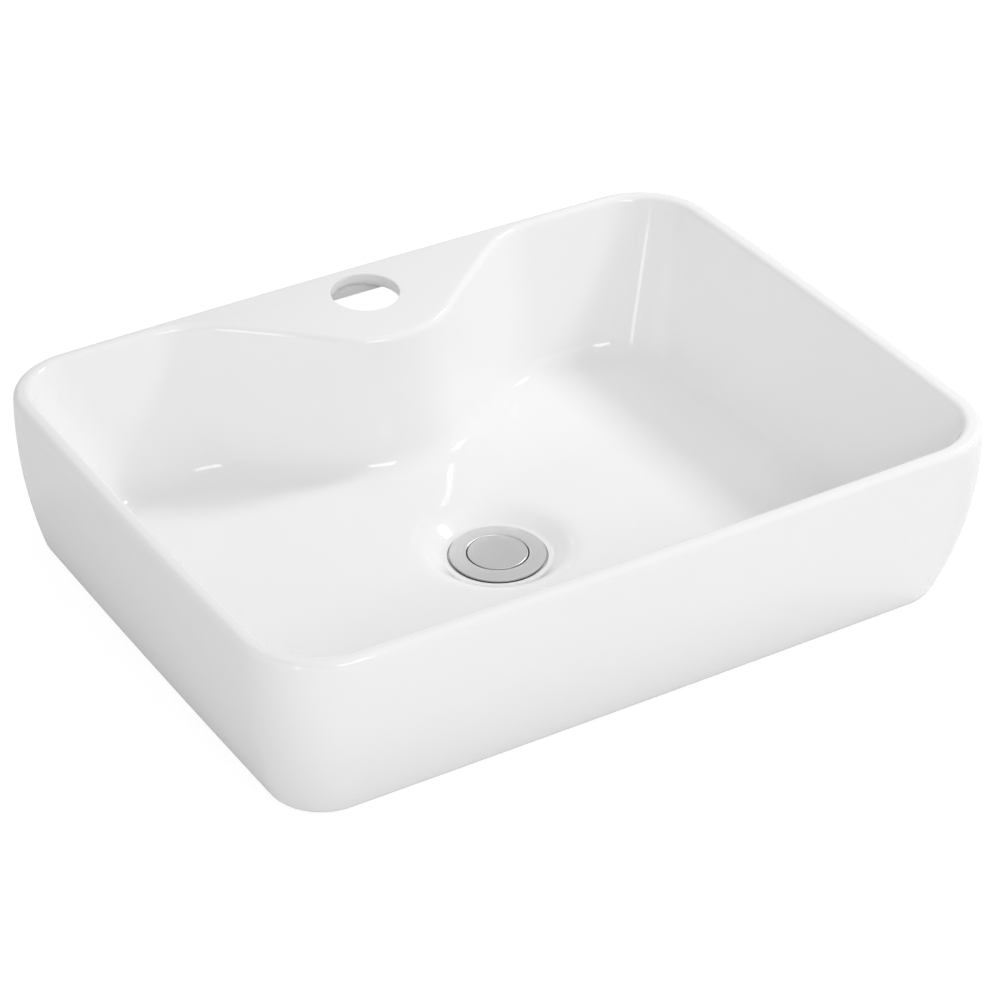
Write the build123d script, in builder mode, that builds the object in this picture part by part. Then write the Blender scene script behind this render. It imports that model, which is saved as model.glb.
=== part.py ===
from build123d import *
import os
from math import cos, hypot, pi, radians, sin, sqrt, tan

os.makedirs("parts", exist_ok=True)

# Basin body: a glazed ceramic tub that stands on a worktop. The base plane is z = 0,
# the front is at -Y, and the tap deck is at the back.
width = 480
depth = 370
height = 116
clay_wall = 9.6
overshoot = 6
nearly = 0.02

# Outer wall: how far each side has drawn in at the base, and the plan's corners and bows
side_taper = 20
front_taper = 24.3
rear_taper = 1.5
rim_corner_r = 48.6
base_corner_r = 33
rim_side_bow = 2.9
rim_end_bow = 3.1
base_side_bow = 1.3
base_end_bow = 0.8
foot_roll_r = 8
rim_round_r = 4.4
lip_round_r = 4.6
rim_share = 0.46
lip_share = 0.48

# Bowl: how far each wall has leaned in at the floor's edge
floor_z = 22.5
bowl_side_lean = 34
bowl_front_lean = 27
bowl_rear_lean = 28
bowl_floor_corner_r = 45
floor_round_r = 14
floor_fall = 1 / 60

# Tap deck: the bell-shaped swelling of the bowl's rear wall, at the rim and at the floor.
# Its two flanks leave the rear wall at an angle and meet in a broad round apex.
deck_reach = 71
deck_flank_angle = 38.3
deck_apex_half = 22.7
deck_apex_r = 60
deck_foot_r = 60
deck_floor_reach = 51
deck_floor_flank_angle = 31
deck_floor_apex_half = 23
deck_floor_apex_r = 70
deck_floor_foot_r = 70
deck_fall_r = 440
deck_hinge_inset = 0.9
bend_share = 0.96
tap_hole_r = 21
tap_hole_set_back = 32
tap_hole_edge_r = 1
tap_hole_relief_r = 4.5

# Arch in the rear wall, through which the tap's nut is reached from behind
access_half = 55
access_top_drop = 15
access_corner_r = 26

# Hollow underside: the clay between the bowl and the outer wall, and the foot ring
hollow_front_inset = 24
hollow_foot_z = 24
foot_ring_z = 8
foot_side_inset = 18
foot_front_inset = 30
foot_rear_inset = 13.3
floor_under_r = 18

# Dish in the floor, and the boss below it that the waste clamps on
drain_y = -3.6
dish_z = 12
dish_flat_r = 33
dish_top_r = 46
dish_top_z = 20.4
dish_edge_r = 24
dish_foot_r = 6
boss_flat_r = 42.6
boss_wall = 8.8

# Waste body: a turned brass barrel with a flange that seats in a rebate of the dish
flange_r = 29
flange_edge_t = 1.8
flange_rise = 0.6
flange_edge_r = 0.8
flange_gasket_t = 1.2
flange_gasket_inset = 0.6
rebate_depth = 1.6
rebate_gap = 1
throat_r = 18.8
throat_flare = 0.7
barrel_wall = 2.8
barrel_length = 61.6
drain_hole_gap = 0.9
hub_r = 9.6
hub_top_depth = 16.6
hub_height = 9
arm_count = 3
arm_width = 4

# Clamping stack under the boss
thread_gap = 0.05
underside_gasket_t = 8
underside_gasket_top_r = 31
underside_gasket_low_r = 27.5
slip_washer_t = 1.5
slip_washer_r = 30
slip_washer_gap = 0.5
lock_nut_t = 9
lock_nut_flats = 56
lock_nut_bevel = 1.5

# Tailpiece: the 32 mm tube that a trap fits
tail_r = 16
tail_wall = 1.2
tail_length = 41
tail_collar_length = 8
tail_shoulder_r = 22
tail_shoulder_t = 6
tail_gasket_t = 1
tail_gasket_inset = 0.2
tail_flat_count = 8
tail_flat_cut = 0.8

# Plug: a pressed steel cap on a moulded plug with a lip seal
plug_travel = 10
cap_gap = 0.7
cap_proud = 0.2
cap_t = 2
cap_skirt = 0.8
cap_edge = 0.5
plug_core_r = 17.2
plug_r = 17.9
plug_depth = 4.2
plug_dish = 1.2
plug_boss_r = 5.5
seal_groove_depth = 1.7
seal_groove_drop = 0.9
seal_h = 2
seal_groove_gap = 0.1
fit_gap = 0.05

# Push cartridge: its housing screws into the hub
cartridge_r = 7
cartridge_bore_r = 5
cartridge_length = 43
cartridge_head_flats = 17
cartridge_head_t = 3
cartridge_seal_t = 1.2
cartridge_neck_r = 5.4
cartridge_neck_h = 5.2
cartridge_roof_t = 2.2
rod_r = 2.5
wiper_r = 4
wiper_h = 1.8
rib_count = 3
rib_inner_r = 3.9
rib_half = 0.85
cartridge_wall_bite = 1.6
ramp_margin = 1.06
sliding_gap = 0.2

# Plunger and rotor inside the cartridge
skirt_h = 6
skirt_top_gap = 0.8
tooth_depth = 0.8
tooth_half = 0.6
tooth_gap = 0.3
rotor_turn = pi / 3
rotor_lug_drop = 0.9
rotor_lug_h = 2.5
rotor_lug_half = 0.8
rotor_h = 5.1
rotor_nose_r = 1.6
rotor_nose_h = 3
nose_gap = 0.1
rotor_stem_r = 2.2
rotor_stem_h = 4
spring_r = 3.3
spring_wire_r = 0.45
spring_turns = 6
end_plug_t = 3.4
end_plug_head_t = 1.4
end_plug_slot = 1.2

# Levels and places worked out from the sizes above
tap_hole_y = depth / 2 - tap_hole_set_back
deck_hinge_y = depth / 2 - clay_wall - deck_hinge_inset
boss_z = dish_z - boss_wall
rebate_z = dish_z - rebate_depth
flange_under_z = rebate_z + flange_gasket_t
flange_edge_z = flange_under_z + flange_edge_t
flange_top_z = flange_edge_z + flange_rise
barrel_r = throat_r + barrel_wall
barrel_end_z = flange_under_z - barrel_length
drain_hole_r = barrel_r + drain_hole_gap
hub_top_z = flange_under_z - hub_top_depth
washer_z = boss_z - underside_gasket_t
nut_z = washer_z - slip_washer_t
cap_top_z = flange_top_z + cap_proud
plug_top_z = cap_top_z - cap_t
plug_low_z = plug_top_z - plug_depth
seal_top_z = plug_top_z - seal_groove_drop
head_low_z = hub_top_z + cartridge_seal_t
head_top_z = head_low_z + cartridge_head_t
neck_top_z = head_top_z + cartridge_neck_h
roof_z = head_top_z - cartridge_roof_t
cartridge_end_z = hub_top_z - cartridge_length
skirt_top_z = roof_z - plug_travel - skirt_top_gap
skirt_low_z = skirt_top_z - skirt_h
rotor_top_z = skirt_low_z - tooth_gap
lug_top_z = rotor_top_z - rotor_lug_drop
rotor_low_z = rotor_top_z - rotor_h
spring_seat_z = cartridge_end_z + end_plug_t

# Plan outlines


def outer_section(z, side_inset=0, front_inset=0, rear_inset=0):
    """The body's plan at height z: four gently bowed sides with round corners."""
    drop = (height - z) / height
    fall = drop**2
    half = width / 2 - side_taper * fall - side_inset
    front = -depth / 2 + front_taper * fall + front_inset
    back = depth / 2 - rear_taper * fall - rear_inset
    mid = (front + back) / 2
    corner = rim_corner_r + (base_corner_r - rim_corner_r) * drop - side_inset
    bow_x = rim_side_bow + (base_side_bow - rim_side_bow) * drop
    bow_y = rim_end_bow + (base_end_bow - rim_end_bow) * drop
    low_y = front + bow_y
    high_y = back - bow_y
    side = half - bow_x
    with BuildSketch(Plane.XY.offset(z)) as section:
        with BuildLine():
            ThreePointArc((side, low_y), (half, mid), (side, high_y))
            ThreePointArc((side, high_y), (0, back), (-side, high_y))
            ThreePointArc((-side, high_y), (-half, mid), (-side, low_y))
            ThreePointArc((-side, low_y), (0, front), (side, low_y))
        make_face()
        fillet(vertices(), corner)
    return section.sketch


def between(at_rim, at_floor, z):
    """A size that changes evenly from the rim down to the floor's edge."""
    return at_rim + (at_floor - at_rim) * (height - z) / (height - floor_z)


def bowl_section(z, growth=0):
    """The bowl's plan at height z, with the swelling under the tap deck in its rear line."""
    half = width / 2 - clay_wall - between(0, bowl_side_lean, z) + growth
    front = -depth / 2 + clay_wall + between(0, bowl_front_lean, z) - growth
    back = depth / 2 - clay_wall - between(0, bowl_rear_lean, z) + growth
    mid = (front + back) / 2
    corner = between(rim_corner_r - clay_wall, bowl_floor_corner_r, z) + growth
    bow_x = between(rim_side_bow, base_side_bow, z)
    bow_y = between(rim_end_bow, base_end_bow, z)
    reach = between(deck_reach, deck_floor_reach, z)
    flank = radians(between(deck_flank_angle, deck_floor_flank_angle, z))
    # A grown outline keeps its flanks parallel, so both bends slide towards the middle
    apex = between(deck_apex_half, deck_floor_apex_half, z) - growth * tan(flank / 2)
    foot = apex + reach / tan(flank)
    side = half - bow_x
    low_y = front + bow_y
    with BuildSketch(Plane.XY.offset(z)) as section:
        with BuildLine():
            ThreePointArc((side, back), (half, mid), (side, low_y))
            ThreePointArc((side, low_y), (0, front), (-side, low_y))
            ThreePointArc((-side, low_y), (-half, mid), (-side, back))
            Polyline(
                (-side, back), (-foot, back), (-apex, back - reach),
                (apex, back - reach), (foot, back), (side, back),
            )
        make_face()
        fillet(vertices().filter_by(lambda v: abs(v.X) > side - nearly), corner)
        # Each bend of the swelling is limited by the straight stretch beside it
        foot_room = bend_share * (side - corner - foot) / tan(flank / 2)
        foot_r = min(between(deck_foot_r, deck_floor_foot_r, z) + growth, foot_room)
        fillet(vertices().filter_by(lambda v: abs(abs(v.X) - foot) < nearly), foot_r)
        apex_room = bend_share * apex / tan(flank / 2)
        apex_r = min(between(deck_apex_r, deck_floor_apex_r, z) - growth, apex_room)
        fillet(vertices().filter_by(lambda v: abs(abs(v.X) - apex) < nearly), apex_r)
    return section.sketch


def tub(growth, flat_r, flat_z, wall_foot_r):
    """The bowl's space: leaning walls, a floor that falls to the dish, a rounded wall foot."""
    top_z = height + overshoot
    far = width
    dish_shift = flat_r - dish_flat_r
    top_r = dish_top_r + dish_shift
    edge_z = dish_top_z - growth
    with BuildPart() as space:
        add(bowl_section(top_z, growth))
        add(bowl_section(0, growth))
        loft()
        with BuildSketch(Plane(origin=(0, drain_y, 0), x_dir=(1, 0, 0), z_dir=(0, -1, 0))):
            with BuildLine():
                FilletPolyline(
                    (far, edge_z + (far - top_r) * floor_fall), (top_r, edge_z),
                    (flat_r, flat_z), (0, flat_z),
                    radius=[dish_edge_r - growth, dish_foot_r + growth],
                )
                Polyline(
                    (0, flat_z), (0, top_z), (far, top_z),
                    (far, edge_z + (far - top_r) * floor_fall),
                )
            make_face()
        revolve(axis=Axis((0, drain_y, 0), (0, 0, 1)), mode=Mode.INTERSECT)

        def at_wall_foot(edge):
            box = edge.bounding_box()
            reach = hypot(edge.center().X, edge.center().Y - drain_y)
            low = box.max.Z < floor_z + floor_round_r
            return low and box.size.Z < clay_wall / 2 and reach > dish_top_r + dish_edge_r

        fillet(edges().filter_by(at_wall_foot), wall_foot_r)
    return space.part


def deck_fall(sink):
    """The space above the tap deck, whose top falls towards the bowl along a large arc."""
    start_y = deck_hinge_y - deck_reach - bowl_rear_lean
    arc_r = deck_fall_r - sink
    centre_z = height - deck_fall_r
    with BuildPart() as space:
        with BuildSketch(Plane.YZ):
            with BuildLine():
                fall = RadiusArc(
                    (start_y, centre_z + sqrt(arc_r**2 - (deck_hinge_y - start_y) ** 2)),
                    (deck_hinge_y, height - sink),
                    arc_r,
                )
                Polyline(
                    fall @ 1, (deck_hinge_y, height + overshoot),
                    (start_y, height + overshoot), fall @ 0,
                )
            make_face()
            cut_half = 2 * deck_apex_half + deck_reach / tan(radians(deck_flank_angle))
        extrude(amount=cut_half, both=True)
    return space.part


# Hollow underside of the body: open below, one wall thickness inside the outer wall

with BuildPart() as hollow:
    roof = height - clay_wall
    for share in (0, 1 / 3, 2 / 3, 1):
        level = roof + (hollow_foot_z - roof) * share
        add(outer_section(level, clay_wall, hollow_front_inset, clay_wall))
    loft()
    foot_plan = (foot_side_inset, foot_front_inset, foot_rear_inset)
    add(outer_section(hollow_foot_z, clay_wall, hollow_front_inset, clay_wall))
    add(outer_section(foot_ring_z, *foot_plan))
    loft(ruled=True)
    extrude(outer_section(foot_ring_z, *foot_plan), amount=-foot_ring_z - overshoot)
    add(deck_fall(clay_wall), mode=Mode.SUBTRACT)
    add(tub(clay_wall, boss_flat_r, boss_z, floor_under_r), mode=Mode.SUBTRACT)

with BuildPart() as basin_body:
    for share in (0, 1 / 4, 1 / 2, 3 / 4, 1):
        add(outer_section(height * share))
    loft()
    fillet(faces().sort_by(Axis.Z)[0].edges(), foot_roll_r)
    add(tub(0, dish_flat_r, dish_z, floor_round_r), mode=Mode.SUBTRACT)
    add(deck_fall(0), mode=Mode.SUBTRACT)
    rim = faces().filter_by(Plane.XY).sort_by(Axis.Z)[-1]
    deck = faces().filter_by(GeomType.CYLINDER).sort_by(SortBy.AREA)[-1]
    lip = (rim.inner_wires()[0].edges() + deck.edges()).filter_by(GeomType.BSPLINE)
    fillet(lip, min(lip_round_r, lip_share * clay_wall))
    rim = faces().filter_by(Plane.XY).sort_by(Axis.Z)[-1]
    fillet(rim.outer_wire().edges(), min(rim_round_r, rim_share * clay_wall))
    add(hollow.part, mode=Mode.SUBTRACT)
    with Locations((0, tap_hole_y, height)):
        Hole(tap_hole_r, depth=height / 2)

    def round_tap_hole(edge):
        box = edge.bounding_box()
        off_axis = hypot(box.center().X, box.center().Y - tap_hole_y)
        return off_axis < nearly and abs(box.size.X - 2 * tap_hole_r) < nearly

    fillet(edges().filter_by(round_tap_hole).sort_by(Axis.Z)[-1], tap_hole_edge_r)
    fillet(edges().filter_by(round_tap_hole).sort_by(Axis.Z)[0], tap_hole_relief_r)
    with BuildSketch(Plane.XZ.offset(-depth / 2 - overshoot)):
        with BuildLine():
            arch_top_z = height - access_top_drop
            FilletPolyline(
                (-access_half, -overshoot), (-access_half, arch_top_z),
                (access_half, arch_top_z), (access_half, -overshoot), radius=access_corner_r,
            )
            Line((access_half, -overshoot), (-access_half, -overshoot))
        make_face()
    extrude(amount=overshoot + 2 * clay_wall, mode=Mode.SUBTRACT)
    with Locations((0, drain_y, dish_z)):
        CounterBoreHole(drain_hole_r, flange_r + rebate_gap, rebate_depth, depth=dish_z)
basin_body.part.label = "basin_body"
export_step(basin_body.part, "parts/basin_body.step")

# Waste: everything from here down is turned about the drain's axis
drain = Axis((0, drain_y, 0), (0, 0, 1))
drain_section = Plane(origin=(0, drain_y, 0), x_dir=(1, 0, 0), z_dir=(0, -1, 0))


def drain_plan(z):
    """The level plane at height z, centred on the drain."""
    return Plane(origin=(0, drain_y, z))


# Brass waste body: flange, threaded barrel, and a spider whose hub carries the cartridge
with BuildPart() as waste_body:
    with BuildSketch(drain_section):
        with BuildLine():
            Polyline(
                (throat_r, barrel_end_z), (barrel_r, barrel_end_z), (barrel_r, flange_under_z),
                (flange_r, flange_under_z), (flange_r, flange_edge_z),
                (throat_r + throat_flare, flange_top_z), (throat_r, flange_top_z - throat_flare),
                (throat_r, barrel_end_z),
            )
        make_face()
    revolve(axis=drain)
    fillet(edges().filter_by(GeomType.CIRCLE).group_by(SortBy.RADIUS)[-1].sort_by(Axis.Z)[-1], flange_edge_r)
    with BuildSketch(drain_plan(hub_top_z)):
        Circle(hub_r)
        with PolarLocations(0, arm_count):
            with Locations(((throat_r + barrel_wall / 2) / 2, 0)):
                Rectangle(throat_r + barrel_wall / 2, arm_width)
        Circle(cartridge_r + thread_gap, mode=Mode.SUBTRACT)
    extrude(amount=-hub_height)
waste_body.part.label = "waste_body"
export_step(waste_body.part, "parts/waste_body.step")

# Flat rubber ring between the flange and its rebate
with BuildPart() as flange_gasket:
    with BuildSketch(drain_plan(rebate_z)):
        Circle(flange_r - flange_gasket_inset)
        Circle(drain_hole_r, mode=Mode.SUBTRACT)
    extrude(amount=flange_gasket_t)
flange_gasket.part.label = "flange_gasket"
export_step(flange_gasket.part, "parts/flange_gasket.step")

# Tapered rubber ring under the boss
with BuildPart() as underside_gasket:
    with BuildSketch(drain_section):
        with BuildLine():
            Polyline(
                (barrel_r + thread_gap, washer_z), (underside_gasket_low_r, washer_z),
                (underside_gasket_top_r, boss_z), (barrel_r + thread_gap, boss_z), close=True,
            )
        make_face()
    revolve(axis=drain)
underside_gasket.part.label = "underside_gasket"
export_step(underside_gasket.part, "parts/underside_gasket.step")

# Plastic washer that lets the nut turn without dragging the gasket round
with BuildPart() as slip_washer:
    with BuildSketch(drain_plan(nut_z)):
        Circle(slip_washer_r)
        Circle(barrel_r + slip_washer_gap, mode=Mode.SUBTRACT)
    extrude(amount=slip_washer_t)
slip_washer.part.label = "slip_washer"
export_step(slip_washer.part, "parts/slip_washer.step")

# Hexagonal back nut with turned-off corners
with BuildPart() as lock_nut:
    with BuildSketch(drain_plan(nut_z)):
        RegularPolygon(lock_nut_flats / 2, 6, major_radius=False)
    extrude(amount=-lock_nut_t)
    with BuildSketch(drain_section):
        with BuildLine():
            corner_r = lock_nut_flats / 2 + lock_nut_bevel
            low_z = nut_z - lock_nut_t
            Polyline(
                (barrel_r + thread_gap, low_z), (corner_r - lock_nut_bevel, low_z),
                (corner_r + lock_nut_t, low_z + lock_nut_bevel + lock_nut_t / 2),
                (corner_r + lock_nut_t, nut_z), (barrel_r + thread_gap, nut_z), close=True,
            )
        make_face()
    revolve(axis=drain, mode=Mode.INTERSECT)
lock_nut.part.label = "lock_nut"
export_step(lock_nut.part, "parts/lock_nut.step")

# Brass tailpiece: a collar that screws into the barrel, a shoulder with flats, and the tube
shoulder_z = barrel_end_z - tail_gasket_t
tube_top_z = shoulder_z - tail_shoulder_t
with BuildPart() as tailpiece:
    with BuildSketch(drain_plan(shoulder_z)):
        Circle(tail_shoulder_r)
        flat_r = tail_shoulder_r - tail_flat_cut
        RegularPolygon(flat_r, tail_flat_count, major_radius=False, mode=Mode.INTERSECT)
    extrude(amount=-tail_shoulder_t)
    with BuildSketch(drain_section):
        with BuildLine():
            Polyline(
                (tail_r - tail_wall, tube_top_z - tail_length), (tail_r, tube_top_z - tail_length),
                (tail_r, shoulder_z), (throat_r - thread_gap, shoulder_z),
                (throat_r - thread_gap, barrel_end_z + tail_collar_length),
                (throat_r - tail_wall, barrel_end_z + tail_collar_length),
                (tail_r - tail_wall, barrel_end_z), close=True,
            )
        make_face()
    revolve(axis=drain)
    with Locations((0, drain_y, shoulder_z)):
        Hole(tail_r - tail_wall)
tailpiece.part.label = "tailpiece"
export_step(tailpiece.part, "parts/tailpiece.step")

with BuildPart() as tailpiece_gasket:
    with BuildSketch(drain_plan(shoulder_z)):
        Circle(barrel_r - tail_gasket_inset)
        Circle(throat_r, mode=Mode.SUBTRACT)
    extrude(amount=tail_gasket_t)
tailpiece_gasket.part.label = "tailpiece_gasket"
export_step(tailpiece_gasket.part, "parts/tailpiece_gasket.step")

# Plug: the pressed cap, the moulded core under it, and the seal in the core's groove
with BuildPart() as stopper_cap:
    with BuildSketch(drain_section):
        with BuildLine():
            cap_r = throat_r - cap_gap
            Polyline(
                (0, plug_top_z + cap_skirt), (plug_core_r, plug_top_z + cap_skirt),
                (plug_core_r, plug_top_z), (cap_r, plug_top_z), (cap_r, cap_top_z - cap_edge),
                (cap_r - cap_edge, cap_top_z), (0, cap_top_z), close=True,
            )
        make_face()
    revolve(axis=drain)
stopper_cap.part.label = "stopper_cap"
export_step(stopper_cap.part, "parts/stopper_cap.step")

groove_low_z = seal_top_z - seal_h - 2 * seal_groove_gap
groove_r = plug_r - seal_groove_depth
rod_hole_z = plug_top_z - cap_skirt
with BuildPart() as stopper_plug:
    with BuildSketch(drain_section):
        with BuildLine():
            Polyline(
                (0, plug_low_z), (plug_boss_r, plug_low_z), (plug_boss_r, plug_low_z + plug_dish),
                (groove_r - seal_groove_depth, plug_low_z + plug_dish),
                (groove_r, plug_low_z), (plug_r, plug_low_z), (plug_r, groove_low_z),
                (groove_r, groove_low_z), (groove_r, seal_top_z), (plug_r, seal_top_z),
                (plug_r, plug_top_z), (plug_core_r, plug_top_z),
                (plug_core_r, plug_top_z + cap_skirt), (0, plug_top_z + cap_skirt), close=True,
            )
        make_face()
    revolve(axis=drain)
    with BuildSketch(drain_plan(plug_low_z)):
        Circle(rod_r + thread_gap)
    extrude(amount=rod_hole_z - plug_low_z, mode=Mode.SUBTRACT)
stopper_plug.part.label = "stopper_plug"
export_step(stopper_plug.part, "parts/stopper_plug.step")

with BuildPart() as plug_seal:
    with BuildSketch(drain_section):
        with BuildLine():
            ring_top_z = seal_top_z - seal_groove_gap
            ring_low_z = ring_top_z - seal_h
            seal_r = throat_r - fit_gap
            Polyline(
                (seal_r - seal_h / 2, ring_low_z), (groove_r, ring_low_z), (groove_r, ring_top_z),
                (seal_r - seal_h / 2, ring_top_z),
            )
            RadiusArc((seal_r - seal_h / 2, ring_top_z), (seal_r - seal_h / 2, ring_low_z), seal_h / 2)
        make_face()
    revolve(axis=drain)
plug_seal.part.label = "plug_seal"
export_step(plug_seal.part, "parts/plug_seal.step")

# Cartridge housing: a hexagonal head, a neck that guides the rod, and ribs in the bore.
# The ribs' lower ends are ramps, which catch the rotor's lugs when the plug is down.
with BuildPart() as cartridge_housing:
    with BuildSketch(drain_section):
        with BuildLine():
            Polyline(
                (0, cartridge_end_z), (cartridge_r, cartridge_end_z), (cartridge_r, head_top_z),
                (cartridge_neck_r, head_top_z), (cartridge_neck_r, neck_top_z), (0, neck_top_z),
                close=True,
            )
        make_face()
    revolve(axis=drain)
    with BuildSketch(drain_plan(head_low_z)):
        RegularPolygon(cartridge_head_flats / 2, 6, major_radius=False)
    extrude(amount=cartridge_head_t)
    with BuildSketch(drain_plan(roof_z)):
        Circle(cartridge_bore_r)
    extrude(amount=cartridge_end_z - roof_z, mode=Mode.SUBTRACT)
    with BuildSketch(drain_plan(neck_top_z)):
        Circle(wiper_r)
    extrude(amount=-wiper_h, mode=Mode.SUBTRACT)
    with BuildSketch(drain_plan(neck_top_z)):
        Circle(rod_r + fit_gap)
    extrude(amount=roof_z - neck_top_z, mode=Mode.SUBTRACT)
    ramp_low_z = lug_top_z + tooth_gap
    ramp_rise = 2 * rib_half * plug_travel / rotor_turn / rib_inner_r * ramp_margin
    rib_depth = cartridge_r - cartridge_wall_bite - rib_inner_r
    with PolarLocations(0, rib_count) as spots:
        rib_planes = [
            Plane(
                origin=Vector(0, drain_y, 0) + spot.position + rib_inner_r * spot.x_axis.direction,
                x_dir=spot.y_axis.direction, z_dir=spot.x_axis.direction,
            )
            for spot in spots.locations
        ]
    for rib_plane in rib_planes:
        with BuildSketch(rib_plane):
            with BuildLine():
                Polyline(
                    (-rib_half, ramp_low_z), (rib_half, ramp_low_z + ramp_rise),
                    (rib_half, roof_z), (-rib_half, roof_z), close=True,
                )
            make_face()
        extrude(amount=rib_depth)
cartridge_housing.part.label = "cartridge_housing"
export_step(cartridge_housing.part, "parts/cartridge_housing.step")

with BuildPart() as cartridge_seal:
    with BuildSketch(drain_plan(hub_top_z)):
        Circle(cartridge_head_flats / 2)
        Circle(cartridge_r + thread_gap, mode=Mode.SUBTRACT)
    extrude(amount=cartridge_seal_t)
cartridge_seal.part.label = "cartridge_seal"
export_step(cartridge_seal.part, "parts/cartridge_seal.step")

with BuildPart() as wiper_ring:
    with BuildSketch(drain_plan(neck_top_z)):
        Circle(wiper_r - seal_groove_gap)
        Circle(rod_r + fit_gap, mode=Mode.SUBTRACT)
    extrude(amount=-wiper_h)
wiper_ring.part.label = "wiper_ring"
export_step(wiper_ring.part, "parts/wiper_ring.step")


def tooth_grooves(face_z, groove_depth):
    """Crossed V grooves from the level face at face_z, which leave a crown of teeth."""
    with BuildPart() as grooves:
        for turn in range(rib_count):
            angle = pi * turn / rib_count
            across = (cos(angle), sin(angle), 0)
            along = (sin(angle), -cos(angle), 0)
            with BuildSketch(Plane(origin=(0, drain_y, face_z), x_dir=across, z_dir=along)):
                with BuildLine():
                    Polyline((-tooth_half, 0), (tooth_half, 0), (0, groove_depth), close=True)
                make_face()
            extrude(amount=cartridge_bore_r, both=True)
    return grooves.part


# Plunger: the rod that carries the plug, a skirt with three fins, and teeth below
with BuildPart() as cartridge_plunger:
    skirt_r = rib_inner_r - sliding_gap
    with BuildSketch(drain_plan(skirt_low_z)):
        Circle(skirt_r)
        with PolarLocations(0, rib_count, start_angle=180 / rib_count):
            with Locations((skirt_r / 2 + cartridge_bore_r / 2 - sliding_gap, 0)):
                Rectangle(cartridge_bore_r - skirt_r, 2 * rib_half)
    extrude(amount=skirt_h)
    with BuildSketch(drain_plan(skirt_top_z)):
        Circle(rod_r)
    extrude(amount=rod_hole_z - skirt_top_z - seal_groove_gap)
    with BuildSketch(drain_plan(skirt_low_z)):
        Circle(rotor_nose_r + nose_gap)
    extrude(amount=rotor_nose_h + tooth_gap, mode=Mode.SUBTRACT)
    add(tooth_grooves(skirt_low_z, tooth_depth), mode=Mode.SUBTRACT)
cartridge_plunger.part.label = "cartridge_plunger"
export_step(cartridge_plunger.part, "parts/cartridge_plunger.step")

# Rotor: a crown of teeth, three lugs, a nose in the plunger and a stem in the spring
with BuildPart() as cartridge_rotor:
    with BuildSketch(drain_section):
        with BuildLine():
            rotor_r = rib_inner_r - sliding_gap
            Polyline(
                (0, rotor_low_z - rotor_stem_h), (rotor_stem_r, rotor_low_z - rotor_stem_h),
                (rotor_stem_r, rotor_low_z), (rotor_r, rotor_low_z), (rotor_r, rotor_top_z),
                (0, rotor_top_z), close=True,
            )
        make_face()
    revolve(axis=drain)
    add(tooth_grooves(rotor_top_z, -tooth_depth), mode=Mode.SUBTRACT)
    with BuildSketch(drain_plan(rotor_top_z - tooth_depth)):
        Circle(rotor_nose_r)
    extrude(amount=tooth_depth + rotor_nose_h)
    with BuildSketch(drain_plan(lug_top_z)):
        with PolarLocations(0, rib_count):
            with Locations((cartridge_bore_r / 2 - sliding_gap / 2 + rotor_stem_r / 2, 0)):
                Rectangle(cartridge_bore_r - sliding_gap - rotor_stem_r, 2 * rotor_lug_half)
    extrude(amount=-rotor_lug_h)
cartridge_rotor.part.label = "cartridge_rotor"
export_step(cartridge_rotor.part, "parts/cartridge_rotor.step")

# Spring under the rotor, and the plug that closes the housing and carries it
spring_height = rotor_low_z - spring_seat_z - 2 * spring_wire_r - 2 * seal_groove_gap
with BuildPart() as cartridge_spring:
    with BuildLine(drain_plan(spring_seat_z + spring_wire_r + seal_groove_gap)):
        coil = Helix(spring_height / spring_turns, spring_height, spring_r)
    with BuildSketch(Plane(origin=coil @ 0, z_dir=coil % 0)):
        RegularPolygon(spring_wire_r, 8)
    sweep(is_frenet=True)
cartridge_spring.part.label = "cartridge_spring"
export_step(cartridge_spring.part, "parts/cartridge_spring.step")

with BuildPart() as cartridge_end_plug:
    with BuildSketch(drain_plan(spring_seat_z)):
        Circle(cartridge_bore_r - thread_gap)
    extrude(amount=-end_plug_t)
    with BuildSketch(drain_plan(cartridge_end_z)):
        Circle(cartridge_r)
    extrude(amount=-end_plug_head_t)
    with BuildSketch(drain_plan(cartridge_end_z - end_plug_head_t)):
        Rectangle(2 * cartridge_r, end_plug_slot)
    extrude(amount=end_plug_slot, mode=Mode.SUBTRACT)
cartridge_end_plug.part.label = "cartridge_end_plug"
export_step(cartridge_end_plug.part, "parts/cartridge_end_plug.step")
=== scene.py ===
from math import atan, cos, pi, radians, sin, sqrt, tan

import bmesh
import bpy
import numpy as np
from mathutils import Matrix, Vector


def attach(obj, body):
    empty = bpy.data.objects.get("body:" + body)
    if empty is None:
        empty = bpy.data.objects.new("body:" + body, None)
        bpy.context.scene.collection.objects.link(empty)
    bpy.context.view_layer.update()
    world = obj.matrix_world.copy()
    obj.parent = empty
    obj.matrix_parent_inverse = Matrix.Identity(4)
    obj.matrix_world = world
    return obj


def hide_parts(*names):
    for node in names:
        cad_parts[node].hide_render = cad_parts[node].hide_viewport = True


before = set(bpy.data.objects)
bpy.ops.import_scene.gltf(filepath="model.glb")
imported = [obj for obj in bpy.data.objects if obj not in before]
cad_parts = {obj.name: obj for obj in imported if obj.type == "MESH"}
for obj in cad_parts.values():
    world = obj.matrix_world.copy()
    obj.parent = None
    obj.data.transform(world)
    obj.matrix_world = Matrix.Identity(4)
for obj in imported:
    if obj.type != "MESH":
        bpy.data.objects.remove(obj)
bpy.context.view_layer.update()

# Basin body
# One tub of vitreous clay, cast hollow and glazed all over but for the foot ring it stands on.
# The mesh is rows of points from the foot over the rim to the dish. Each half row runs from the
# middle of the front, round the right side, to the middle of the back, in millimetres.
MM = 0.001
WIDTH, DEPTH, HEIGHT, WALL = 480.0, 370.0, 116.0, 9.6
FLOOR_Z = 22.5
DRAIN_Y = -3.6
HINGE_Y = 174.5
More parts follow.
